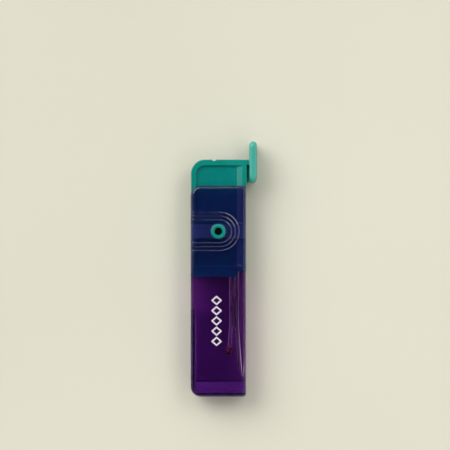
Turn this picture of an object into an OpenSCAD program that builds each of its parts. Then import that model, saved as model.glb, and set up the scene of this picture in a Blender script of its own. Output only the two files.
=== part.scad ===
// Folding seam ripper, closed, lying on its rear face.
// +X runs along the casing towards the pivot end, +Y towards the closed spine, +Z up.
// The origin is on the lever's pivot axis, at the rear face.
// Lengths are in millimetres.

/* [Casing] */
// Length of the casing
casing_length = 61; // [58:0.5:64]
// Width of the casing, from the spine to the open side
casing_width = 16; // [15.6:0.1:16.4]
// Thickness of the casing, from the rear face to the front face
casing_thickness = 8; // [7.6:0.1:8.6]
// Thickness of the front and rear walls
wall = 1.5; // [1.3:0.05:1.6]
// Thickness of the spine along the closed side
spine_width = 1.6; // [1.5:0.1:2]
// Length of the solid block at the tail end
tail_block = 4.2; // [3.5:0.1:5]
// Distance from the pivot axis to the pivot end
pivot_inset = 13.2; // [13:0.1:13.4]
// Radius of the two corners on the spine side
spine_corner = 3; // [2.6:0.1:3.2]
// Radius of the tail corner on the open side
tail_corner = 1; // [0.6:0.1:1.4]
// Radius of the pivot end corner on the open side
pivot_corner = 0.4; // [0.3:0.1:0.8]

/* [Grip ribs] */
// Number of curved grip ribs on the front face
rib_count = 3; // [1:1:3]
// Radius of the smallest rib, at its middle line
rib_first_radius = 3.3; // [3.1:0.1:3.6]
// Step in radius from one rib to the next
rib_pitch = 1.1; // [0.8:0.1:1.2]
// Width of a rib
rib_width = 0.4; // [0.3:0.05:0.7]
// Height of a rib above the front face
rib_height = 0.2; // [0.1:0.05:0.2]
// Distance from the pivot axis to the ribs' centre, towards the open side
rib_offset = 0.5; // [0.4:0.1:0.6]

/* [Lever] */
// Distance from the pivot axis to the lever's outer end
lever_reach = 20.8; // [20.2:0.1:21.2]
// Gap between the lever and each wall of the casing, and from its sides to the casing's outline
lever_gap = 0.1; // [0.05:0.05:0.2]
// Gap between the casing's end and the lever's wider head
head_gap = 0.2; // [0.1:0.05:0.4]
// Distance by which the head stands out of the casing's outline on the open side
head_proud = 0.3; // [0.1:0.05:0.4]
// Radius of the lever's outer corner on the spine side
lever_corner = 4; // [3.4:0.1:4.4]
// Radius of the lever's square corners
lever_edge_corner = 0.5; // [0.3:0.1:0.7]
// Length of the notch at the lever's inner corner
notch_length = 1.7; // [1.5:0.1:1.9]
// Width of the notch at the lever's inner corner
notch_width = 2.4; // [2.2:0.1:2.6]
// Width of the rim along the head's sides, round the lever's recessed panels
panel_rim = 1.4; // [1.3:0.05:1.6]
// Width of that rim at the lever's outer end
panel_end_rim = 1.7; // [1.4:0.1:1.9]
// Depth of a recessed panel
panel_depth = 0.7; // [0.4:0.05:0.8]
// Width of the crossbar that carries the pivot
crossbar_width = 4.2; // [3.8:0.1:4.6]
// Length of the solid stretch of the lever that grips the blade
blade_grip = 3; // [2.6:0.1:3.4]

/* [Pivot] */
// Diameter of the hollow pivot that turns in the casing's two holes
pivot_diameter = 4.4; // [4.2:0.1:4.8]
// Diameter of the hole through the pivot
pivot_bore = 2.2; // [1.6:0.1:2.4]
// Radial running clearance of the pivot in the casing
pivot_clearance = 0.05; // [0.02:0.01:0.08]
// Height of the pivot's end above the front face
pivot_rise = 0.2; // [0.1:0.05:0.2]

/* [Thumb tab] */
// Thickness of the thumb tab
tab_thickness = 2.15; // [2.1:0.05:2.5]
// Length of the thumb tab
tab_length = 12; // [11.5:0.1:12.5]
// Distance from the pivot axis to the tab's nearer end
tab_start = 14.1; // [13.9:0.1:14.4]
// Gap between the lever and the tab
tab_gap = 0.7; // [0.6:0.05:0.9]
// Thickness of the neck that joins the tab to the lever
neck_thickness = 1.6; // [1.3:0.1:2]
// Thickness of the web that closes the slot between the lever and the tab
web_thickness = 2; // [1:0.1:2.4]
// Distance from the tab's nearer end to the web
web_inset = 0.1; // [0.1:0.1:1]
// Distance from the tab's long edges to the casing's faces
tab_inset = 0.3; // [0.2:0.1:0.6]

/* [Blade] */
// Thickness of the blade
blade_thickness = 0.9; // [0.8:0.05:1]
// Width of the blade's shank
shank_width = 2.8; // [2.6:0.1:3]
// Distance from the pivot axis to the shank's middle line
blade_offset = 4.5; // [4.4:0.1:4.6]
// Distance from the pivot axis to the tang's inner end
tang_start = 3.6; // [3.4:0.1:4]
// Diameter of the hole that locks the tang in the lever
tang_hole = 1.2; // [1:0.1:1.4]
// Distance from the pivot axis to the start of the fork
fork_start = 27.2; // [26.5:0.1:28]
// Distance from the pivot axis to the tip of the long prong
long_tip = 42.2; // [41.5:0.1:42.4]
// Distance from the pivot axis to the end of the short prong
short_end = 34.8; // [34:0.1:35.4]
// Angle by which each prong leans outwards
prong_lean = 4.2; // [3.5:0.1:4.5]
// Width of a prong where the fork starts
prong_width = 1.15; // [1:0.05:1.25]
// Diameter of the safety ball on the short prong
ball_diameter = 2.1; // [1.9:0.1:2.4]

/* [Hidden] */
$fn = 96;

// Room between two faces that meet inside one body
fit_gap = 0.03;
// A cut runs this far past the face that it opens
overrun = 1;

half_width = casing_width / 2;
tail_end = pivot_inset - casing_length;
cavity_end = tail_end + tail_block;
joint_plane = casing_thickness - wall;

half_lever = half_width - lever_gap;
head_side = half_width + head_proud;
lever_bottom = wall + lever_gap;
lever_height = casing_thickness - 2 * lever_bottom;
tab_inner = head_side + tab_gap;
// The lever's far corner swings through this radius, and the spine starts clear of it
spine_start = -norm([lever_reach, tab_inner]);

tongue_width = 0.6;
tongue_height = 0.5;
tongue_inset = spine_width / 2;

tab_corner = 1;
tab_face_corner = 1.6;

mid_plane = casing_thickness / 2;
// Share of its length at which a prong starts to narrow to its end
prong_taper = 0.75;
tip_width = 0.15;
short_end_width = 0.8 * prong_width;
ball_centre = [-short_end, -(blade_offset - prong_shift(short_end))];

// Sideways shift of a prong's middle line at a distance from the pivot axis
function prong_shift(distance) =
    (shank_width - prong_width) / 2 + (distance - fork_start) * tan(prong_lean);

// What a round corner of radius r takes off a square corner, for the turn a of that corner
module corner_waste(x, y, a, r)
    translate([x, y])
        rotate(a)
            difference() {
                translate([-overrun, -overrun]) square(r + overrun);
                translate([r, r]) circle(r);
            }

// Rectangle from low to high, with its corners' radii in the order ++, -+, --, +-
module rounded_rectangle(low, high, radii)
    difference() {
        translate(low) square(high - low);
        corner_waste(high[0], high[1], 180, radii[0]);
        corner_waste(low[0], high[1], 270, radii[1]);
        corner_waste(low[0], low[1], 0, radii[2]);
        corner_waste(high[0], low[1], 90, radii[3]);
    }

module casing_outline()
    rounded_rectangle([tail_end, -half_width], [pivot_inset, half_width],
        [spine_corner, spine_corner, tail_corner, pivot_corner]);

// Hole in a casing wall that the lever's pivot turns in
module pivot_hole()
    translate([0, 0, -overrun])
        cylinder(d = pivot_diameter + 2 * pivot_clearance, h = casing_thickness + 2 * overrun);

// The two straight tongues that locate the casing halves, along the spine and across the tail block
module tongues(clearance) {
    width = tongue_width + 2 * clearance;
    depth = tongue_height + clearance;
    spine_run = cavity_end - 1;
    translate([spine_run, half_width - tongue_inset - width / 2, joint_plane - depth])
        cube([spine_start - 2 * tongue_inset - spine_run, width, depth]);
    translate([(tail_end + cavity_end - width) / 2, -half_width + spine_corner, joint_plane - depth])
        cube([width, casing_width - 2 * spine_corner, depth]);
}

module rear_casing()
    color([0.22, 0.06, 0.34, 0.75])
        difference() {
            linear_extrude(joint_plane) casing_outline();
            // Cavity for the blade, open at the pivot end and along the open side
            translate([cavity_end, -half_width - overrun, wall])
                cube([casing_length, casing_width + overrun - spine_width, casing_thickness]);
            // Opening in the closed side that the lever's outer end swings through
            translate([spine_start, -half_width, wall])
                cube([casing_length, casing_width + overrun, casing_thickness]);
            tongues(fit_gap);
            pivot_hole();
        }

module grip_rib(radius) {
    inner = radius - rib_width / 2;
    difference() {
        union() {
            translate([0, -rib_offset]) circle(radius + rib_width / 2);
            translate([-radius - rib_width / 2, -rib_offset])
                square([2 * radius + rib_width, half_width + rib_offset]);
        }
        translate([0, -rib_offset]) circle(inner);
        translate([-inner, -rib_offset]) square([2 * inner, half_width + rib_offset + overrun]);
    }
}

module front_casing()
    color([0.22, 0.06, 0.34, 0.75])
        difference() {
            union() {
                translate([0, 0, joint_plane]) linear_extrude(wall) casing_outline();
                tongues(0);
                for (i = [0 : rib_count - 1])
                    translate([0, 0, casing_thickness])
                        linear_extrude(rib_height)
                            grip_rib(rib_first_radius + i * rib_pitch);
            }
            pivot_hole();
        }

module lever_outline()
    difference() {
        rounded_rectangle([-pivot_inset, -half_lever], [lever_reach, half_lever],
            [lever_corner, lever_edge_corner, lever_edge_corner, lever_edge_corner]);
        translate([-pivot_inset - overrun, -half_lever - overrun])
            square([notch_length + overrun, notch_width + overrun]);
    }

// Outlines of the two recessed panels in one face of the lever
module panel_outlines() {
    low = -head_side + panel_rim;
    high = half_lever - panel_rim;
    inner_corner = lever_corner - panel_rim;
    rounded_rectangle([crossbar_width / 2, low], [lever_reach - panel_end_rim, high],
        [inner_corner, lever_edge_corner, lever_edge_corner, lever_edge_corner]);
    rounded_rectangle([-pivot_inset + blade_grip, low], [-crossbar_width / 2, high],
        [lever_edge_corner, lever_edge_corner, lever_edge_corner, lever_edge_corner]);
}

// Thumb tab: round ends seen from the front, round corners seen from the side
module tab() {
    tab_end = tab_start + tab_length;
    intersection() {
        linear_extrude(casing_thickness)
            rounded_rectangle([tab_start, -tab_inner - tab_thickness], [tab_end, -tab_inner],
                [tab_corner, tab_corner, tab_corner, tab_corner]);
        translate([0, -tab_inner + overrun, 0])
            rotate([90, 0, 0])
                linear_extrude(tab_thickness + 2 * overrun)
                    rounded_rectangle([tab_start, tab_inset], [tab_end, casing_thickness - tab_inset],
                        [tab_face_corner, tab_face_corner, tab_face_corner, tab_face_corner]);
    }
}

// Space that the tang fills, widened by the clearance, with the peg that locks it left standing
module tang_socket()
    difference() {
        translate([-pivot_inset - overrun, -blade_offset - shank_width / 2 - fit_gap,
                mid_plane - blade_thickness / 2 - fit_gap])
            cube([pivot_inset + overrun - tang_start + fit_gap, shank_width + 2 * fit_gap,
                blade_thickness + 2 * fit_gap]);
        translate([tang_hole_centre(), -blade_offset, 0])
            cylinder(d = tang_hole - 2 * fit_gap, h = casing_thickness);
    }

function tang_hole_centre() = -(tang_start + shank_width);

module lever()
    color([0, 0.46, 0.42])
        difference() {
            union() {
                translate([0, 0, lever_bottom]) linear_extrude(lever_height) lever_outline();
                // Wider side of the head, past the casing's end
                translate([0, 0, lever_bottom])
                    linear_extrude(lever_height)
                        rounded_rectangle([pivot_inset + head_gap, -head_side], [lever_reach, 0],
                            [lever_edge_corner, lever_edge_corner, lever_edge_corner, lever_edge_corner]);
                cylinder(d = pivot_diameter, h = casing_thickness + pivot_rise);
                tab();
                // Neck between the lever and the tab
                translate([lever_reach - neck_thickness, -tab_inner - tab_thickness / 2, lever_bottom])
                    cube([neck_thickness, tab_inner + tab_thickness / 2, lever_height]);
                // Web in the slot between the lever and the tab
                translate([tab_start + web_inset, -tab_inner - tab_thickness / 2, mid_plane - web_thickness / 2])
                    cube([lever_reach - neck_thickness / 2 - tab_start - web_inset,
                        tab_gap + tab_thickness, web_thickness]);
            }
            for (z = [lever_bottom - overrun, lever_bottom + lever_height - panel_depth])
                translate([0, 0, z]) linear_extrude(panel_depth + overrun) panel_outlines();
            tang_socket();
            translate([0, 0, -overrun])
                cylinder(d = pivot_bore, h = casing_thickness + pivot_rise + 2 * overrun);
        }

// One prong of the fork, which leans by the angle lean and starts inside the shank.
// It tapers to its end, whose middle lies end_shift away from the prong's middle line.
module prong(length, lean, end_width, end_shift)
    translate([-fork_start, -blade_offset - sign(lean) * (shank_width - prong_width) / 2, 0])
        rotate(lean)
            linear_extrude(blade_thickness)
                polygon([
                    [prong_width, prong_width / 2],
                    [prong_width, -prong_width / 2],
                    [-length * prong_taper, -prong_width / 2],
                    [-length, end_shift - end_width / 2],
                    [-length, end_shift + end_width / 2],
                    [-length * prong_taper, prong_width / 2]
                ]);

// Blade on the plane z = 0
module flat_blade() {
    shank_end = fork_start + prong_width;
    difference() {
        union() {
            translate([-shank_end, -blade_offset - shank_width / 2, 0])
                cube([shank_end - tang_start, shank_width, blade_thickness]);
            // The long prong's outer edge runs straight to its tip
            prong((long_tip - fork_start) / cos(prong_lean), prong_lean, tip_width,
                (tip_width - prong_width) / 2);
            prong((short_end - fork_start) / cos(prong_lean), -prong_lean, short_end_width, 0);
        }
        // Round cutting crotch between the two prongs
        translate([-shank_end, -blade_offset, -overrun])
            cylinder(d = shank_width - 2 * prong_width * prong_taper, h = blade_thickness + 2 * overrun);
        translate([tang_hole_centre(), -blade_offset, -overrun])
            cylinder(d = tang_hole, h = blade_thickness + 2 * overrun);
    }
}

module blade()
    color([0.75, 0.75, 0.76])
        translate([0, 0, mid_plane - blade_thickness / 2]) flat_blade();

module safety_ball()
    color([0.45, 0.02, 0.08])
        difference() {
            translate([ball_centre[0], ball_centre[1], mid_plane]) sphere(d = ball_diameter);
            // Socket that the short prong's end fills
            translate([0, 0, mid_plane - blade_thickness / 2]) flat_blade();
        }

rear_casing();
front_casing();
lever();
blade();
safety_ball();
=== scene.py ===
import math

import bmesh
import bpy
from mathutils import Matrix, Vector


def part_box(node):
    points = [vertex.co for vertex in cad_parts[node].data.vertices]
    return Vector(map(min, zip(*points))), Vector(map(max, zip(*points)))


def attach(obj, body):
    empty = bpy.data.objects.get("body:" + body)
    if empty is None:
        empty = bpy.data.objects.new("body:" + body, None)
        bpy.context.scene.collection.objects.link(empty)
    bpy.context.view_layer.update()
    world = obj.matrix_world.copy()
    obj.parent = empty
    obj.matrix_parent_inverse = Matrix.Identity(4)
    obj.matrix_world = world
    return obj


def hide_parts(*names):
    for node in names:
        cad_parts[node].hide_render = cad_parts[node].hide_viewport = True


# Shapes are worked out in millimetres, in the row frame, and turned to metres as each piece is finished.
MM = 0.001

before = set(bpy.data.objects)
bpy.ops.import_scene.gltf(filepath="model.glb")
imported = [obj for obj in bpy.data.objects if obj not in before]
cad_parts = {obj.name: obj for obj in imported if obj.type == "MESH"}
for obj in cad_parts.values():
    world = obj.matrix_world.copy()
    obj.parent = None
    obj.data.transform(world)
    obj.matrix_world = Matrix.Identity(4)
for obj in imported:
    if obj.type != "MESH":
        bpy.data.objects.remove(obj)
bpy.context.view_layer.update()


def box_mm(node):
    """Lowest and highest corners of a CAD node, in millimetres."""
    low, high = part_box(node)
    return low / MM, high / MM


rear_low, rear_high = box_mm("rear_casing")
front_low, front_high = box_mm("front_casing")
lever_low, lever_high = box_mm("lever")
blade_low, blade_high = box_mm("blade")
ball_low, ball_high = box_mm("safety_ball")

# Casing
TAIL, PIVOT_END = rear_low.x, rear_high.x
HALF_WIDTH = rear_high.y
JOINT_PLANE = rear_high.z
RIB_HEIGHT = 0.2
FRONT_FACE = front_high.z - RIB_HEIGHT
WALL = FRONT_FACE - JOINT_PLANE
SPINE_WIDTH = 1.6
TAIL_BLOCK = 4.2
CAVITY_END = TAIL + TAIL_BLOCK
CASING_CORNERS = (3.0, 3.0, 1.0, 0.4)
EDGE_ROUND = 1.0
PARTING_ROUND = 0.12
PARTING_GAP = 0.03
INNER_CORNERS, INNER_ROUND = (0.5,) * 4, 0.3
TONGUE_HALF, TONGUE_DEPTH, TONGUE_ROOT = 0.3, 0.5, 0.2
TONGUE_CORNERS = (0.05,) * 4
SMALL_BEVEL = 0.12
HOLE_FLARE = 0.1

# Grip ribs: U shapes about the pivot, whose half circles are centred RIB_OFFSET towards the open side
RIB_RADII = (3.3, 4.4, 5.5)
RIB_WIDTH = 0.4
RIB_OFFSET = 0.5
RIB_END_GAP = 0.25

# Lever
LEVER_REACH, LEVER_TAIL = 20.8, -PIVOT_END
FACE_PLAY, HEAD_PLAY, HEAD_OVERHANG = 0.1, 0.2, 0.3
HALF_LEVER, HEAD_SIDE = lever_high.y, HALF_WIDTH + HEAD_OVERHANG
HEAD_START = PIVOT_END + HEAD_PLAY
LEVER_BOTTOM = WALL + FACE_PLAY
LEVER_TOP = FRONT_FACE - LEVER_BOTTOM
SMALL_CORNERS = (0.5,) * 4
LEVER_CORNERS = (4.0, *SMALL_CORNERS[1:])
LEVER_ROUND = 0.3
NOTCH_LENGTH, NOTCH_WIDTH = 1.7, 2.4
PANEL_RIM, PANEL_END_RIM = 1.4, 1.7
PANEL_DEPTH, PANEL_LIP, PANEL_FLOOR_ROUND = 0.7, 0.12, 0.1
PANEL_DRAFT, PANEL_WIDE_SLOPE = 0.25, 1.4
CROSSBAR_HALF = 2.1
BLADE_GRIP = 3.0
PIVOT_RADIUS, BORE_RADIUS, HOLE_RADIUS = 2.2, 1.1, 2.25
PIVOT_ROUND, PIVOT_CHAMFER, BORE_FLARE = 0.5, 0.1, 0.15
SLOT_WIDTH = 0.7
TAB_INNER, TAB_OUTER = -HEAD_SIDE - SLOT_WIDTH, lever_low.y
TAB_START, TAB_END = 14.1, lever_high.x
TAB_INSET, TAB_CROWN, TAB_CORNERS = 0.3, 0.45, (1.6,) * 4
NECK_THICKNESS, WEB_THICKNESS, WEB_INSET = 1.6, 2.0, 0.1
NECK_CORNERS, WEB_ROUND = (0.3,) * 4, 0.15
NECK_OVERLAP = 1.0  # how far the neck and the web run into the head and the tab
GATE_CENTRE, GATE_RADIUS = (LEVER_REACH + 0.3, 1.2), 0.7

# The spine starts clear of the lever's far corner, which swings past it
SPINE_START = -math.hypot(LEVER_REACH, TAB_INNER)

# Blade
BLADE_MIDDLE = (blade_low.z + blade_high.z) / 2
BLADE_THICKNESS = blade_high.z - blade_low.z
SHANK_HALF = 1.4
BEVEL_WIDTH, BEVEL_DEPTH = 0.22, 0.08
SOFT_BEVEL_WIDTH = 0.36  # on the edge towards the spine, which is ground flatter
INNER_BEVEL = 0.3  # of the outer bevel, on the edges inside the fork
BLADE_OFFSET = -4.5
FORK_START = -27.2
PRONG_WIDTH = 1.15
PRONG_LEAN = math.radians(4.2)
TIP_HALF, TIP_THICKNESS = 0.08, 0.25
BALL_NECK_HALF, BALL_NECK_THICKNESS = 0.42, 0.7  # of the short prong, inside the ball
CROTCH_SHARE, CROTCH_FLARE = 0.8, 0.2
SHANK_CORNERS = (0.1,) * 4
LONG_TIP = blade_low.x
BALL_RADIUS = (ball_high.z - ball_low.z) / 2
BALL_CENTRE = Vector((ball_low.x + BALL_RADIUS, (ball_low.y + ball_high.y) / 2, BLADE_MIDDLE))

# Light: the dome's brightness, the least brightness and the dark ceiling patch's core and edge
# angles, then each soft light's direction, core and edge angles and brightness
AROUND, LEAST_LIGHT, CEILING_ANGLES = 0.46, 0.02, (22, 42)
LIGHTS = (
    ((0.55, 0.62, 0.55), 10, 32, 5.3),
    ((0.8, 0.0, 0.6), 15, 38, 1.3),
    ((0.5, -0.6, 0.8), 5, 18, 3.6),
    ((0.0, -0.64, 0.77), 8, 20, 0.9),
    ((0.0, 0.64, 0.77), 8, 20, 0.5),
    ((-0.5, -0.5, 0.8), 5, 18, 1.5),
)

# Plastic: the colour that the casing lets through and how fast it takes the rest, to the metre
VIOLET_ABSORPTION, VIOLET_DENSITY = (0.58, 0.0, 0.8), 700.0
# The rib crests' clouded plastics let this share through; the rest is a painted highlight colour
CREST_SHEEN_CLEARNESS = 0.65

ARC_STEPS = 12
ROUND_STEPS = 6
CIRCLE_STEPS = 64
LEAST_RADIUS = 0.04  # of a corner that an inset would otherwise bring to nothing
PAST = 1.0  # how far a cutter runs past the face that it opens
FLOOR_GAP = 0.03  # keeps the floor's surface apart from the rear face that lies on it


# ---------------------------------------------------------------- shapes

def round_rect(low, high, radii, inset=0.0):
    """Counter-clockwise outline of a rectangle with round corners, in the order ++, -+, --, +-."""
    points = []
    for (sx, sy), radius in zip(((1, 1), (-1, 1), (-1, -1), (1, -1)), radii):
        r = max(radius - inset, LEAST_RADIUS)
        cx = (high[0] - inset - r) if sx > 0 else (low[0] + inset + r)
        cy = (high[1] - inset - r) if sy > 0 else (low[1] + inset + r)
        start = math.atan2(sy, sx) - math.pi / 4
        for i in range(ARC_STEPS + 1):
            a = start + math.pi / 2 * i / ARC_STEPS
            points.append((cx + r * math.cos(a), cy + r * math.sin(a)))
    return points


def circle(centre, radius, steps=CIRCLE_STEPS):
    """Counter-clockwise circle of points."""
    turns = [2 * math.pi * i / steps for i in range(steps)]
    return [(centre[0] + radius * math.cos(a), centre[1] + radius * math.sin(a)) for a in turns]


def at_height(points, z):
    """A flat outline, lifted to the height z."""
    return [(x, y, z) for x, y in points]


def quarter_round(radius, steps=ROUND_STEPS):
    """(inset, drop) pairs along a rounded edge, from the side to the face."""
    if radius == 0:
        return [(0.0, 0.0)]
    angles = [math.pi / 2 * i / steps for i in range(steps + 1)]
    return [(radius * (1 - math.cos(a)), radius * (1 - math.sin(a))) for a in angles]


def new_object(name, vertices, faces):
    """Mesh object with its faces turned outwards."""
    mesh = bpy.data.meshes.new(name)
    mesh.from_pydata([tuple(v) for v in vertices], [], faces)
    made = bmesh.new()
    made.from_mesh(mesh)
    bmesh.ops.recalc_face_normals(made, faces=made.faces)
    made.to_mesh(mesh)
    made.free()
    piece = bpy.data.objects.new(name, mesh)
    bpy.context.scene.collection.objects.link(piece)
    return piece


def loft(name, rings):
    """Closed solid through rings with the same number of points."""
    count = len(rings[0])
    faces = []
    for k in range(len(rings) - 1):
        for i in range(count):
            j = (i + 1) % count
            faces.append([k * count + i, k * count + j, (k + 1) * count + j, (k + 1) * count + i])
    faces.append(list(range(count)))
    faces.append([(len(rings) - 1) * count + i for i in range(count)])
    return new_object(name, [p for ring in rings for p in ring], faces)


def slab(name, low, high, radii, bottom_round=0.0, top_round=0.0):
    """Plate from low to high with round corners in plan and rounded bottom and top edges."""
    rings = [at_height(round_rect(low, high, radii, inset), low[2] + drop)
             for inset, drop in reversed(quarter_round(bottom_round))]
    rings += [at_height(round_rect(low, high, radii, inset), high[2] - drop)
              for inset, drop in quarter_round(top_round)]
    return loft(name, rings)


def drill(centre, radius, bottom, top, flare):
    """Round cutter from bottom to top that widens by flare at both faces."""
    levels = [(bottom - PAST, radius + flare + PAST), (bottom + flare, radius),
              (top - flare, radius), (top + PAST, radius + flare + PAST)]
    return loft("drill", [at_height(circle(centre, r), z) for z, r in levels])


def settle(piece):
    """Applies the piece's modifiers."""
    graph = bpy.context.evaluated_depsgraph_get()
    mesh = bpy.data.meshes.new_from_object(piece.evaluated_get(graph))
    piece.modifiers.clear()
    old, piece.data = piece.data, mesh
    bpy.data.meshes.remove(old)


def combine(piece, tool, operation):
    """Joins the tool to the piece, or cuts it away, and deletes the tool."""
    modifier = piece.modifiers.new(operation, "BOOLEAN")
    modifier.operation, modifier.solver = operation, "EXACT"
    modifier.object = tool
    settle(piece)
    mesh = tool.data
    bpy.data.objects.remove(tool)
    bpy.data.meshes.remove(mesh)


def join(piece, *tools):
    """Joins each tool to the piece."""
    for tool in tools:
        combine(piece, tool, "UNION")


def cut(piece, *tools):
    """Cuts each tool away from the piece."""
    for tool in tools:
        combine(piece, tool, "DIFFERENCE")


def complete(piece, body, node, material, bevel=0.0, crease=50):
    """Softens the piece's sharp edges, scales it to metres and hands it to the frame.

    Edges sharper than crease degrees stay sharp in the shading.
    """
    if bevel:
        modifier = piece.modifiers.new("bevel", "BEVEL")
        modifier.width, modifier.segments = bevel, 2
        modifier.limit_method, modifier.angle_limit = "ANGLE", math.radians(35)
        settle(piece)
    piece.data.transform(Matrix.Scale(MM, 4))
    for polygon in piece.data.polygons:
        polygon.use_smooth = True
    piece.data.set_sharp_from_angle(angle=math.radians(crease))
    weighted = piece.modifiers.new("normals", "WEIGHTED_NORMAL")
    weighted.keep_sharp = True
    settle(piece)
    piece.data.materials.clear()
    piece.data.materials.append(material)
    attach(piece, body)
    if node:
        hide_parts(node)
    return piece


# ---------------------------------------------------------------- materials

def new_material(name):
    """New material, with its node tree and its Principled shader."""
    material = bpy.data.materials.new(name)
    material.use_nodes = True
    tree = material.node_tree
    return material, tree, tree.nodes["Principled BSDF"]


def stretched_coordinates(tree, scale):
    """Object coordinates, scaled by a different number along each axis."""
    place = tree.nodes.new("ShaderNodeTexCoord")
    mapping = tree.nodes.new("ShaderNodeMapping")
    mapping.inputs["Scale"].default_value = scale
    tree.links.new(place.outputs["Object"], mapping.inputs["Vector"])
    return mapping.outputs["Vector"]


def noise(tree, scale, detail=4.0, roughness=0.55, stretch=(1, 1, 1)):
    """Noise with about scale features to the metre."""
    made = tree.nodes.new("ShaderNodeTexNoise")
    made.inputs["Scale"].default_value = scale
    made.inputs["Detail"].default_value = detail
    made.inputs["Roughness"].default_value = roughness
    tree.links.new(stretched_coordinates(tree, stretch), made.inputs["Vector"])
    return made.outputs["Fac"]


def spread(tree, source, low, high, source_low=0.3, source_high=0.7):
    """Maps the source's usual range onto low to high."""
    made = tree.nodes.new("ShaderNodeMapRange")
    tree.links.new(source, made.inputs["Value"])
    made.inputs["From Min"].default_value = source_low
    made.inputs["From Max"].default_value = source_high
    made.inputs["To Min"].default_value = low
    made.inputs["To Max"].default_value = high
    return made.outputs["Result"]


def colour_blend(tree, factor, first, second):
    """Mix of two colours by a factor. The first may be another node's output."""
    made = tree.nodes.new("ShaderNodeMix")
    made.data_type = "RGBA"
    # The colour inputs of this node share their names with its other types' inputs
    if isinstance(first, tuple):
        made.inputs[6].default_value = (*first, 1)
    else:
        tree.links.new(first, made.inputs[6])
    made.inputs[7].default_value = (*second, 1)
    tree.links.new(factor, made.inputs[0])
    return made.outputs[2]


def bump(tree, height, strength, distance, after=None):
    """Bump from a height, with its depth in metres, added to an earlier bump's normal."""
    made = tree.nodes.new("ShaderNodeBump")
    made.inputs["Strength"].default_value = strength
    made.inputs["Distance"].default_value = distance
    tree.links.new(height, made.inputs["Height"])
    if after is not None:
        tree.links.new(after, made.inputs["Normal"])
    return made.outputs["Normal"]


def arithmetic(tree, operation, first, second):
    """Result of a sum or another operation on two outputs or numbers."""
    made = tree.nodes.new("ShaderNodeMath")
    made.operation = operation
    for socket, source in zip(made.inputs, (first, second)):
        if isinstance(source, float):
            socket.default_value = source
        else:
            tree.links.new(source, socket)
    return made.outputs["Value"]


def violet_plastic(name, clearness, haze, least_rough, most_rough):
    """See-through plastic that takes its violet from the depth of it that light crosses."""
    material, tree, shader = new_material(name)
    # Below full clearness this colour shows as a cloud; on the rib crests it is a painted highlight
    shader.inputs["Base Color"].default_value = (*haze, 1)
    shader.inputs["Transmission Weight"].default_value = clearness
    shader.inputs["IOR"].default_value = 1.5
    rough = spread(tree, noise(tree, 900, detail=3), least_rough, most_rough)
    tree.links.new(rough, shader.inputs["Roughness"])
    waves = bump(tree, noise(tree, 140, detail=2), 0.25, 0.00002)
    grain = bump(tree, noise(tree, 5000, detail=2), 0.05, 0.000004, after=waves)
    tree.links.new(grain, shader.inputs["Normal"])
    absorb = tree.nodes.new("ShaderNodeVolumeAbsorption")
    absorb.inputs["Color"].default_value = (*VIOLET_ABSORPTION, 1)
    absorb.inputs["Density"].default_value = VIOLET_DENSITY
    tree.links.new(absorb.outputs["Volume"], tree.nodes["Material Output"].inputs["Volume"])
    return material


def joint_glow_plastic():
    """Violet plastic clouded lighter, a painted glow that stands in for light scattered in the thick
    plastic at the joint between the casing halves.
    """
    material, tree, shader = new_material("casing_joint_glow")
    cloud = noise(tree, 1800, detail=4, stretch=(2, 0.5, 1))
    colour = colour_blend(tree, spread(tree, cloud, 0, 1), (0.19, 0.1, 0.29), (0.27, 0.14, 0.39))
    tree.links.new(colour, shader.inputs["Base Color"])
    tree.links.new(spread(tree, cloud, 0.5, 0.7), shader.inputs["Roughness"])
    tree.links.new(bump(tree, cloud, 0.2, 0.00001), shader.inputs["Normal"])
    return material


def lit_zones(tree):
    """Painted light on the lever: 1 on the thumb tab and the crossbar, which are painted lighter as if
    they caught more light, 0 elsewhere.
    """
    place = tree.nodes.new("ShaderNodeTexCoord")
    split = tree.nodes.new("ShaderNodeSeparateXYZ")
    tree.links.new(place.outputs["Object"], split.inputs[0])
    x, y, z = split.outputs
    bar, bar_fade = CROSSBAR_HALF * MM, 0.12
    across = spread(tree, arithmetic(tree, "ABSOLUTE", x, 0.0), 1, 0,
                    bar * (1 - bar_fade), bar * (1 + bar_fade))
    height = arithmetic(tree, "SUBTRACT", z, FRONT_FACE / 2 * MM)
    half = (LEVER_TOP - LEVER_BOTTOM) / 2
    # Only the lever's two faces are painted lighter, and the pivot's raised front end isn't
    on_face = spread(tree, arithmetic(tree, "ABSOLUTE", height, 0.0), 0, 1,
                     (half - 0.3) * MM, (half - 0.1) * MM)
    below_end = spread(tree, z, 1, 0, LEVER_TOP * MM, FRONT_FACE * MM)
    crossbar = arithmetic(tree, "MULTIPLY", across, arithmetic(tree, "MULTIPLY", on_face, below_end))
    tab_fade = 0.4
    tab = spread(tree, y, 1, 0, TAB_INNER * MM, (TAB_INNER + tab_fade) * MM)
    return arithmetic(tree, "MAXIMUM", crossbar, tab)


def teal_plastic(name, dark, light, least_rough, most_rough, grain_strength, gloss, lit_colour=None):
    """Opaque moulded plastic with faint flow marks and a fine grain, with painted light on the tab and
    the crossbar when a lit colour is given.
    """
    material, tree, shader = new_material(name)
    flow = noise(tree, 220, detail=3, stretch=(0.4, 1, 1))
    colour = colour_blend(tree, spread(tree, flow, 0, 1), dark, light)
    # Painted light: the thumb tab and the crossbar are lightened towards the lit colour
    if lit_colour:
        colour = colour_blend(tree, lit_zones(tree), colour, lit_colour)
    tree.links.new(colour, shader.inputs["Base Color"])
    rough = spread(tree, noise(tree, 1500, detail=4), least_rough, most_rough)
    tree.links.new(rough, shader.inputs["Roughness"])
    shader.inputs["IOR"].default_value = 1.5
    shader.inputs["Specular IOR Level"].default_value = gloss
    waves = bump(tree, flow, 0.1, 0.00003)
    grain = bump(tree, noise(tree, 9000, detail=3), grain_strength, 0.000004, after=waves)
    tree.links.new(grain, shader.inputs["Normal"])
    return material


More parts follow.
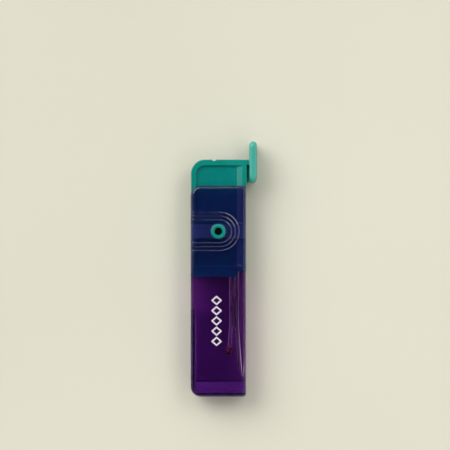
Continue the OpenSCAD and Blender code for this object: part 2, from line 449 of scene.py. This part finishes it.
def brushed_steel():
    """Stainless steel ground along its length."""
    material, tree, shader = new_material("blade_steel")
    streaks = noise(tree, 2600, detail=5, stretch=(0.03, 1, 1))
    colour = colour_blend(tree, spread(tree, streaks, 0, 1), (0.52, 0.51, 0.5), (0.74, 0.73, 0.71))
    tree.links.new(colour, shader.inputs["Base Color"])
    shader.inputs["Metallic"].default_value = 1.0
    tree.links.new(spread(tree, streaks, 0.2, 0.38), shader.inputs["Roughness"])
    shader.inputs["Anisotropic"].default_value = 0.5
    tree.links.new(bump(tree, streaks, 0.3, 0.000008), shader.inputs["Normal"])
    return material


def red_plastic():
    """Glossy dark red plastic of the safety ball."""
    material, tree, shader = new_material("ball_red")
    cloud = noise(tree, 1200, detail=3)
    colour = colour_blend(tree, spread(tree, cloud, 0, 1), (0.09, 0.002, 0.006), (0.13, 0.003, 0.01))
    tree.links.new(colour, shader.inputs["Base Color"])
    tree.links.new(spread(tree, noise(tree, 4000), 0.18, 0.3), shader.inputs["Roughness"])
    tree.links.new(bump(tree, cloud, 0.1, 0.00001), shader.inputs["Normal"])
    return material


def print_ink():
    """Pad-printed white ink, a little thin in places."""
    material, tree, shader = new_material("print_white")
    patches = noise(tree, 3500, detail=5)
    colour = colour_blend(tree, spread(tree, patches, 0, 1), (0.48, 0.43, 0.55), (0.72, 0.69, 0.76))
    tree.links.new(colour, shader.inputs["Base Color"])
    tree.links.new(spread(tree, patches, 0.38, 0.6), shader.inputs["Roughness"])
    tree.links.new(bump(tree, noise(tree, 12000), 0.25, 0.000006), shader.inputs["Normal"])
    return material


def pale_floor():
    """Plain matt studio floor."""
    material, tree, shader = new_material("studio_floor")
    cloud = noise(tree, 6, detail=2)
    colour = colour_blend(tree, spread(tree, cloud, 0, 1), (0.6, 0.59, 0.5), (0.63, 0.62, 0.53))
    tree.links.new(colour, shader.inputs["Base Color"])
    shader.inputs["Roughness"].default_value = 0.75
    return material


# ---------------------------------------------------------------- casing

def grip_rib(radius):
    """Soft-sided rib that runs in from the spine edge, round the pivot and back to the edge."""
    leg_steps, turn_steps, side_steps, root_depth = 16, 28, 4, 0.3
    straight_end = HALF_WIDTH - RIB_END_GAP
    legs = [straight_end - i * (straight_end + RIB_OFFSET) / leg_steps for i in range(leg_steps)]
    turns = [math.pi * i / turn_steps for i in range(turn_steps + 1)]
    path = [((radius, y), (1, 0)) for y in legs]
    path += [((radius * math.cos(a), -RIB_OFFSET - radius * math.sin(a)), (math.cos(a), -math.sin(a)))
             for a in turns]
    path += [((-radius, y), (-1, 0)) for y in reversed(legs)]
    rings = []
    for (x, y), (nx, ny) in path:
        # Over the rounded edge of the front face the rib follows the surface and dies out
        over = max(0.0, y - (HALF_WIDTH - EDGE_ROUND))
        drop = EDGE_ROUND - math.sqrt(max(EDGE_ROUND ** 2 - over ** 2, 0.0))
        height = RIB_HEIGHT * min(1.0, max(0.0, (straight_end - y) / (EDGE_ROUND - RIB_END_GAP)))
        ring = []
        for i in range(2 * side_steps + 1):
            share = 1 - i / side_steps
            out, up = RIB_WIDTH / 2 * share, height / 2 * (1 + math.cos(math.pi * share))
            ring.append((x + nx * out, y + ny * out, FRONT_FACE - drop + up))
        for out in (-RIB_WIDTH / 2, RIB_WIDTH / 2):
            ring.append((x + nx * out, y + ny * out, FRONT_FACE - drop - root_depth))
        rings.append(ring)
    return loft("rib", rings)


def tongues(clearance):
    """The tongues that locate the casing halves, along the spine and across the tail block."""
    half = TONGUE_HALF + clearance
    spine_middle, tail_middle = HALF_WIDTH - SPINE_WIDTH / 2, (TAIL + CAVITY_END) / 2
    spine_inset, tail_inset = 1, 3
    bottom, top = JOINT_PLANE - (TONGUE_DEPTH + clearance), JOINT_PLANE + TONGUE_ROOT
    return (
        slab("spine_tongue", (CAVITY_END - spine_inset - clearance, spine_middle - half, bottom),
             (SPINE_START - SPINE_WIDTH + clearance, spine_middle + half, top), TONGUE_CORNERS),
        slab("tail_tongue", (tail_middle - half, tail_inset - HALF_WIDTH - clearance, bottom),
             (tail_middle + half, HALF_WIDTH - tail_inset + clearance, top), TONGUE_CORNERS),
    )


def front_casing(material, *crest_sheens):
    """Front cover with its grip ribs, given the crests' painted-highlight plastics from the brightest to
    the faintest.
    """
    piece = slab("front_cover", (TAIL, -HALF_WIDTH, JOINT_PLANE + PARTING_GAP / 2),
                 (PIVOT_END, HALF_WIDTH, FRONT_FACE), CASING_CORNERS, PARTING_ROUND, EDGE_ROUND)
    join(piece, *[grip_rib(radius) for radius in RIB_RADII])
    join(piece, *tongues(0.0))
    cut(piece, drill((0, 0), HOLE_RADIUS, JOINT_PLANE, FRONT_FACE, HOLE_FLARE))
    complete(piece, "casing", "front_casing", material)
    for crest_sheen in crest_sheens:
        piece.data.materials.append(crest_sheen)
    crests = FRONT_FACE + 0.5 * RIB_HEIGHT
    turn_start = -RIB_OFFSET - 0.3
    glint_side, glint_start = -2.2, 1.6
    for polygon in piece.data.polygons:
        x, y, z = polygon.center / MM
        if z > crests:
            # Painted highlight: the crests are clouded lighter, brightest at the upper right where they
            # turn towards the tab, less round the rest of the turns, faintest on the tail-side legs, and
            # not on the pivot-side legs
            if y < glint_side and x > glint_start:
                polygon.material_index = 1
            elif y < turn_start:
                polygon.material_index = 2
            elif x < 0:
                polygon.material_index = 3
    return piece


def rear_casing(material):
    """Rear tray: the rear wall, the spine and the tail block, open on the lever's two sides."""
    piece = slab("rear_tray", (TAIL, -HALF_WIDTH, 0),
                 (PIVOT_END, HALF_WIDTH, JOINT_PLANE - PARTING_GAP / 2), CASING_CORNERS,
                 EDGE_ROUND, PARTING_ROUND)
    cavity = slab("cavity", (CAVITY_END, -HALF_WIDTH - PAST, WALL),
                  (PIVOT_END + PAST, HALF_WIDTH - SPINE_WIDTH, FRONT_FACE + PAST),
                  INNER_CORNERS, INNER_ROUND)
    opening = slab("opening", (SPINE_START, -HALF_WIDTH - PAST, WALL),
                   (PIVOT_END + PAST, HALF_WIDTH + PAST, FRONT_FACE + PAST),
                   INNER_CORNERS, INNER_ROUND)
    cut(piece, cavity, opening, *tongues(PARTING_GAP))
    cut(piece, drill((0, 0), HOLE_RADIUS, 0, WALL, HOLE_FLARE))
    return complete(piece, "casing", "rear_casing", material, bevel=SMALL_BEVEL)


def joint_glow_strips(material):
    """Clouded strips at the joint between the casing halves, on either side of the tongues, that give the
    tail block and the spine a painted glow.
    """
    bottom, top = JOINT_PLANE - PARTING_GAP / 3, JOINT_PLANE + PARTING_GAP / 3
    # The strips stay in from the rounded outer edges, and less so from the open long side
    edge, open_edge = 1.15, 0.35
    tail_middle, high_side, low_side = (TAIL + CAVITY_END) / 2, HALF_WIDTH - edge, open_edge - HALF_WIDTH
    below, above = tail_middle - TONGUE_HALF, tail_middle + TONGUE_HALF
    strips = (
        ((TAIL + edge, low_side), (below, high_side), (0.05, 0.55, 0.2, 0.05)),
        ((below + 2 * PARTING_GAP, low_side), (above, high_side), TONGUE_CORNERS),
        ((above + 2 * PARTING_GAP, low_side), (CAVITY_END, high_side), TONGUE_CORNERS),
        ((CAVITY_END, HALF_WIDTH - SPINE_WIDTH), (SPINE_START, high_side), TONGUE_CORNERS),
    )
    vertices, faces = [], []
    for low, high, radii in strips:
        outline = round_rect(low, high, radii)
        start, size = len(vertices), len(outline)
        vertices += at_height(outline, bottom) + at_height(outline, top)
        faces.append([start + i for i in range(size)])
        faces.append([start + size + i for i in range(size)])
        for i in range(size):
            j = (i + 1) % size
            faces.append([start + i, start + j, start + size + j, start + size + i])
    return complete(new_object("joint_glow_strips", vertices, faces), "casing", None, material)


def quilting_diamonds(material):
    """Row of five printed diamond outlines, as on a quilt pattern."""
    count, pitch, middle = 5, 2.95, Vector((-25.8, 0.5))
    half_long, half_across, stroke, corner = 1.42, 1.6, 0.58, 0.18
    bottom, top = FRONT_FACE + 0.004, FRONT_FACE + 0.03
    square = round_rect((-1, -1), (1, 1), (corner,) * 4)
    vertices, faces = [], []
    for k in range(count):
        centre = middle + Vector(((k - (count - 1) / 2) * pitch, 0))
        rings = []
        for inset, z in ((0.0, bottom), (0.0, top), (stroke, top), (stroke, bottom)):
            shrink = 1 - inset / min(half_long, half_across)
            # The square turned by 45 degrees, with its points at a distance of 1
            turned = [((x - y) / 2, (x + y) / 2) for x, y in square]
            rings.append([(centre.x + x * half_long * shrink, centre.y + y * half_across * shrink, z)
                          for x, y in turned])
        start, size = len(vertices), len(square)
        vertices += [p for ring in rings for p in ring]
        for r in range(4):
            for i in range(size):
                j, other = (i + 1) % size, (r + 1) % 4
                faces.append([start + r * size + i, start + r * size + j,
                              start + other * size + j, start + other * size + i])
    piece = new_object("quilting_diamonds", vertices, faces)
    return complete(piece, "casing", None, material)


# ---------------------------------------------------------------- lever

def panel(low, high, radii, face, outwards):
    """Cutter for a recessed panel: a sloped side towards the tab, steep sides elsewhere, a soft mouth."""
    floor = face - outwards * PANEL_DEPTH
    floor_low = (low[0] + PANEL_DRAFT, low[1] + PANEL_WIDE_SLOPE)
    floor_high = (high[0] - PANEL_DRAFT, high[1] - PANEL_DRAFT)
    rings = [at_height(round_rect(floor_low, floor_high, radii, PANEL_DRAFT / 2), floor),
             at_height(round_rect(floor_low, floor_high, radii), floor + outwards * PANEL_FLOOR_ROUND)]
    for inset, drop in quarter_round(PANEL_LIP, 3):
        rings.append(at_height(round_rect(low, high, radii, -inset), face - outwards * drop))
    rings.append(at_height(round_rect(low, high, radii, -PANEL_LIP), face + outwards * PAST))
    return loft("panel", rings)


def thumb_tab():
    """Thumb tab with round ends in plan and round corners seen from the side."""
    half_thickness = (TAB_INNER - TAB_OUTER) / 2
    middle = (TAB_INNER + TAB_OUTER) / 2
    rings = []
    for i in range(2 * ROUND_STEPS + 1):
        a = math.pi / 2 * (i / ROUND_STEPS - 1)
        end_inset = half_thickness * (1 - math.cos(a))
        face_inset = TAB_CROWN * (1 - math.cos(a))
        low = (TAB_START + end_inset, TAB_INSET + face_inset)
        high = (TAB_END - end_inset, FRONT_FACE - TAB_INSET - face_inset)
        outline = round_rect(low, high, TAB_CORNERS)
        rings.append([(x, middle + half_thickness * math.sin(a), z) for x, z in outline])
    return loft("tab", rings)


def lever(material, recess_shade_material):
    """Lever with its head, panels, notch, gate scar, neck, web, thumb tab and hollow pivot."""
    low, high = (LEVER_TAIL, -HALF_LEVER, LEVER_BOTTOM), (LEVER_REACH, HALF_LEVER, LEVER_TOP)
    piece = slab("blade_lever", low, high, LEVER_CORNERS, LEVER_ROUND, LEVER_ROUND)
    join(piece, slab("head", (HEAD_START, -HEAD_SIDE, LEVER_BOTTOM), (LEVER_REACH, 0, LEVER_TOP),
                     SMALL_CORNERS, LEVER_ROUND, LEVER_ROUND))
    notch = slab("notch", (LEVER_TAIL - PAST, -HALF_LEVER - PAST, 0),
                 (LEVER_TAIL + NOTCH_LENGTH, -HALF_LEVER + NOTCH_WIDTH, FRONT_FACE), (0.4,) * 4)
    cut(piece, notch)
    outer_low = (CROSSBAR_HALF, -HEAD_SIDE + PANEL_RIM)
    outer_high = (LEVER_REACH - PANEL_END_RIM, HALF_LEVER - PANEL_RIM)
    inner_low = (LEVER_TAIL + BLADE_GRIP, outer_low[1])
    inner_high = (-CROSSBAR_HALF, outer_high[1])
    outer_radii = (LEVER_CORNERS[0] - PANEL_RIM, *SMALL_CORNERS[1:])
    for face, outwards in ((LEVER_TOP, 1), (LEVER_BOTTOM, -1)):
        cut(piece, panel(outer_low, outer_high, outer_radii, face, outwards),
            panel(inner_low, inner_high, SMALL_CORNERS, face, outwards))
    gate = loft("gate_scar", [at_height(circle(GATE_CENTRE, GATE_RADIUS, 24), z)
                              for z in (0, FRONT_FACE)])
    cut(piece, gate)
    neck = slab("neck", (LEVER_REACH - NECK_THICKNESS, TAB_OUTER + NECK_OVERLAP, LEVER_BOTTOM),
                (LEVER_REACH, -HEAD_SIDE + NECK_OVERLAP, LEVER_TOP),
                NECK_CORNERS, LEVER_ROUND, LEVER_ROUND)
    mid_plane, half_web = FRONT_FACE / 2, WEB_THICKNESS / 2
    web = slab("web", (TAB_START + WEB_INSET, (TAB_INNER + TAB_OUTER) / 2, mid_plane - half_web),
               (LEVER_REACH - NECK_THICKNESS / 2, -HEAD_SIDE + NECK_OVERLAP, mid_plane + half_web),
               NECK_CORNERS, WEB_ROUND, WEB_ROUND)
    pivot_top = lever_high.z
    profile = [(0.0, PIVOT_RADIUS - PIVOT_CHAMFER), (PIVOT_CHAMFER, PIVOT_RADIUS)]
    profile += [(pivot_top - drop, PIVOT_RADIUS - inset) for inset, drop in quarter_round(PIVOT_ROUND)]
    pivot = loft("pivot", [at_height(circle((0, 0), radius), z) for z, radius in profile])
    join(piece, neck, web, thumb_tab(), pivot)
    cut(piece, drill((0, 0), BORE_RADIUS, 0, pivot_top, BORE_FLARE))
    complete(piece, "blade_carrier", "lever", material, bevel=SMALL_BEVEL)
    piece.data.materials.append(recess_shade_material)
    # Painted shade: the recessed panel floors take the darker teal
    floors = (LEVER_TOP - PANEL_DEPTH, LEVER_BOTTOM + PANEL_DEPTH)
    for polygon in piece.data.polygons:
        level = abs(polygon.normal.z) > 0.99
        if level and any(abs(polygon.center.z / MM - floor) < 0.01 for floor in floors):
            polygon.material_index = 1
    return piece


# ---------------------------------------------------------------- blade

def prong(side, length, end_half, end_thickness, end_shift):
    """One prong of the fork, bevelled, narrowing over its last stretch.

    Side -1 is towards the casing's open side and side 1 towards its spine.
    """
    root = Vector((FORK_START, BLADE_OFFSET + side * (SHANK_HALF - PRONG_WIDTH / 2)))
    along = Vector((-math.cos(PRONG_LEAN), side * math.sin(PRONG_LEAN)))
    across = Vector((-along.y, along.x))
    full, taper_start, taper_middle = PRONG_WIDTH / 2, length * 0.72, length * 0.9
    left = 0.45  # share of the narrowing still to come at the taper's middle station
    # Each station: distance along, half width, shift of the middle line and thickness
    stations = ((-PRONG_WIDTH, full, 0, BLADE_THICKNESS),
                (taper_start, full, 0, BLADE_THICKNESS),
                (taper_middle, end_half + (full - end_half) * left, end_shift * (1 - left),
                 (BLADE_THICKNESS + end_thickness) / 2),
                (length, end_half, end_shift, end_thickness))
    outer_width = BEVEL_WIDTH if side < 0 else SOFT_BEVEL_WIDTH
    rings = []
    for distance, half, shift, thickness in stations:
        top = thickness / 2
        drop = min(BEVEL_DEPTH, top / 2)
        # Where the face ends and how high the side stands, at the outer and the inner edge
        outer = (half - min(outer_width, half / 2), top - drop)
        inner = (half - min(INNER_BEVEL * BEVEL_WIDTH, half / 2), top - INNER_BEVEL * drop)
        (near, near_top), (far, far_top) = (inner, outer) if side < 0 else (outer, inner)
        section = ((half, far_top), (far, top), (-near, top), (-half, near_top),
                   (-half, -near_top), (-near, -top), (far, -top), (half, -far_top))
        centre = root + along * distance + across * shift
        rings.append([(centre.x + across.x * w, centre.y + across.y * w, BLADE_MIDDLE + z)
                      for w, z in section])
    return loft("prong", rings)


def blade(material):
    """Shank with bevelled long edges, the two prongs and the round cutting crotch between them."""
    half_thickness = BLADE_THICKNESS / 2
    fork_end = FORK_START - PRONG_WIDTH
    low = (fork_end, BLADE_OFFSET - SHANK_HALF)
    high = (blade_high.x, BLADE_OFFSET + SHANK_HALF)
    face_high = (blade_high.x, BLADE_OFFSET + SHANK_HALF - SOFT_BEVEL_WIDTH + BEVEL_WIDTH)
    levels = ((face_high, BEVEL_WIDTH, -half_thickness), (high, 0, BEVEL_DEPTH - half_thickness),
              (high, 0, half_thickness - BEVEL_DEPTH), (face_high, BEVEL_WIDTH, half_thickness))
    rings = [at_height(round_rect(low, corner, SHANK_CORNERS, inset), BLADE_MIDDLE + z)
             for corner, inset, z in levels]
    piece = loft("forked_blade", rings)
    long_length = (FORK_START - LONG_TIP) / math.cos(PRONG_LEAN)
    short_length = (FORK_START - BALL_CENTRE.x) / math.cos(PRONG_LEAN)
    # The long prong's outer edge runs straight to its tip
    straight_shift = PRONG_WIDTH / 2 - TIP_HALF
    join(piece, prong(-1, long_length, TIP_HALF, TIP_THICKNESS, straight_shift),
         prong(1, short_length, BALL_NECK_HALF, BALL_NECK_THICKNESS, 0))
    crotch = drill((fork_end, BLADE_OFFSET), SHANK_HALF - CROTCH_SHARE * PRONG_WIDTH,
                   BLADE_MIDDLE - half_thickness, BLADE_MIDDLE + half_thickness, CROTCH_FLARE)
    cut(piece, crotch)
    return complete(piece, "blade_carrier", "blade", material, crease=12)


def safety_ball(material):
    """Ball moulded over the short prong's end, with a small collar where the prong enters."""
    back = Vector((math.cos(PRONG_LEAN), -math.sin(PRONG_LEAN)))
    side = Vector((-back.y, back.x))
    # (radius, distance back from the ball's centre) pairs, from the collar's end
    profile = [(0.62, 1.22), (0.68, 1.12), (0.72, 0.98), (0.78, 0.82)]
    first, last, steps = math.asin(0.82 / BALL_RADIUS), math.pi - 0.12, 20
    turns = [first + (last - first) * i / steps for i in range(1, steps + 1)]
    profile += [(BALL_RADIUS * math.sin(a), BALL_RADIUS * math.cos(a)) for a in turns]
    rings = []
    for radius, distance in profile:
        centre = BALL_CENTRE.to_2d() + back * distance
        rings.append([(centre.x + side.x * u, centre.y + side.y * u, BLADE_MIDDLE + v)
                      for u, v in circle((0, 0), radius, 40)])
    return complete(loft("guard_ball", rings), "blade_carrier", "safety_ball", material)


# ---------------------------------------------------------------- studio

def stage_bowl():
    """Floor that rises into a pale wall all round, well away from the object."""
    flat, bend, bend_steps, steps = 1.0, 0.5, 12, 96
    profile = [(0.05, 0.0), (0.2, 0.0), (0.6, 0.0), (flat, 0.0)]
    profile += [(flat + bend * math.sin(a), bend - bend * math.cos(a))
                for a in (math.pi / 2 * i / bend_steps for i in range(1, bend_steps + 1))]
    profile = [(radius, height - FLOOR_GAP * MM) for radius, height in profile]
    vertices = [(0, 0, -FLOOR_GAP * MM)]
    faces = []
    for radius, height in profile:
        vertices += [(x, y, height) for x, y in circle((0, 0), radius, steps)]
    for i in range(steps):
        faces.append([0, 1 + i, 1 + (i + 1) % steps])
    for k in range(len(profile) - 1):
        a, b = 1 + k * steps, 1 + (k + 1) * steps
        for i in range(steps):
            j = (i + 1) % steps
            faces.append([a + i, b + i, b + j, a + j])
    floor = new_object("studio_floor", vertices, faces)
    for polygon in floor.data.polygons:
        polygon.use_smooth = True
    floor.data.materials.append(pale_floor())


def soft_light(tree, direction, core, edge, radiance):
    """Brightness of a round soft light seen in a direction, from its full core to its faded edge."""
    way = tree.nodes.new("ShaderNodeTexCoord")
    dot = tree.nodes.new("ShaderNodeVectorMath")
    dot.operation = "DOT_PRODUCT"
    dot.inputs[1].default_value = Vector(direction).normalized()
    tree.links.new(way.outputs["Generated"], dot.inputs[0])
    fade = tree.nodes.new("ShaderNodeMapRange")
    fade.interpolation_type = "SMOOTHSTEP"
    tree.links.new(dot.outputs["Value"], fade.inputs["Value"])
    fade.inputs["From Min"].default_value = math.cos(math.radians(edge))
    fade.inputs["From Max"].default_value = math.cos(math.radians(core))
    fade.inputs["To Min"].default_value = 0.0
    fade.inputs["To Max"].default_value = radiance
    return fade.outputs["Result"]


def studio_air():
    """Soft light from all round, with a dark ceiling patch that keeps the glossy front face deep."""
    world = bpy.data.worlds.new("studio_air")
    world.use_nodes = True
    tree = world.node_tree
    ceiling = soft_light(tree, (0, 0, 1), *CEILING_ANGLES, 1.0)
    around = arithmetic(tree, "MULTIPLY", arithmetic(tree, "SUBTRACT", 1.0, ceiling), AROUND)
    total = arithmetic(tree, "ADD", around, LEAST_LIGHT)
    for direction, core, edge, radiance in LIGHTS:
        total = arithmetic(tree, "ADD", total, soft_light(tree, direction, core, edge, radiance))
    background = tree.nodes["Background"]
    background.inputs["Color"].default_value = (1.0, 0.985, 0.96, 1)
    tree.links.new(total, background.inputs["Strength"])
    bpy.context.scene.world = world


def studio():
    """Floor, light and plain display colours."""
    stage_bowl()
    studio_air()
    bpy.context.scene.view_settings.view_transform = "Standard"


def camera():
    """Camera straight above the front face, with the pivot end up in the picture."""
    picture_side, centre_x, centre_y = 129.7, 1.84, -1.93
    data = bpy.data.cameras.new("camera")
    data.lens = 100
    height = FRONT_FACE + picture_side * data.lens / data.sensor_width
    made = bpy.data.objects.new("camera", data)
    made.location = (centre_x * MM, centre_y * MM, height * MM)
    made.rotation_euler = (0, 0, -math.pi / 2)
    data.clip_start, data.clip_end = 0.01, 20
    bpy.context.scene.collection.objects.link(made)
    bpy.context.scene.camera = made


camera()
violet = violet_plastic("casing_violet", 1.0, (1.0, 1.0, 1.0), 0.05, 0.1)
# Painted highlights on the rib crests, from the brightest glint to the faintest sheen
crest_glint = violet_plastic("casing_crest_glint", CREST_SHEEN_CLEARNESS, (0.62, 0.6, 0.78), 0.15, 0.25)
crest_sheen = violet_plastic("casing_crest_sheen", CREST_SHEEN_CLEARNESS, (0.17, 0.16, 0.38), 0.15, 0.25)
faint_crest_sheen = violet_plastic("casing_faint_crest_sheen", CREST_SHEEN_CLEARNESS, (0.08, 0.07, 0.2), 0.15, 0.25)
# The lever's teal, painted lighter on the thumb tab and the crossbar
teal = teal_plastic("lever_teal", (0.001, 0.185, 0.158), (0.003, 0.225, 0.192), 0.18, 0.28,
                    grain_strength=0.08, gloss=0.4, lit_colour=(0.05, 0.34, 0.28))
# Painted shade: a darker teal for the recessed panel floors, with its own gloss and grain
shaded_recess_teal = teal_plastic("lever_teal_recess_shade", (0.0, 0.16, 0.145), (0.0, 0.19, 0.168), 0.26, 0.36,
                           grain_strength=0.2, gloss=0.2)
front_casing(violet, crest_glint, crest_sheen, faint_crest_sheen)
rear_casing(violet)
lever(teal, shaded_recess_teal)
joint_glow_strips(joint_glow_plastic())
blade(brushed_steel())
safety_ball(red_plastic())
quilting_diamonds(print_ink())
studio()
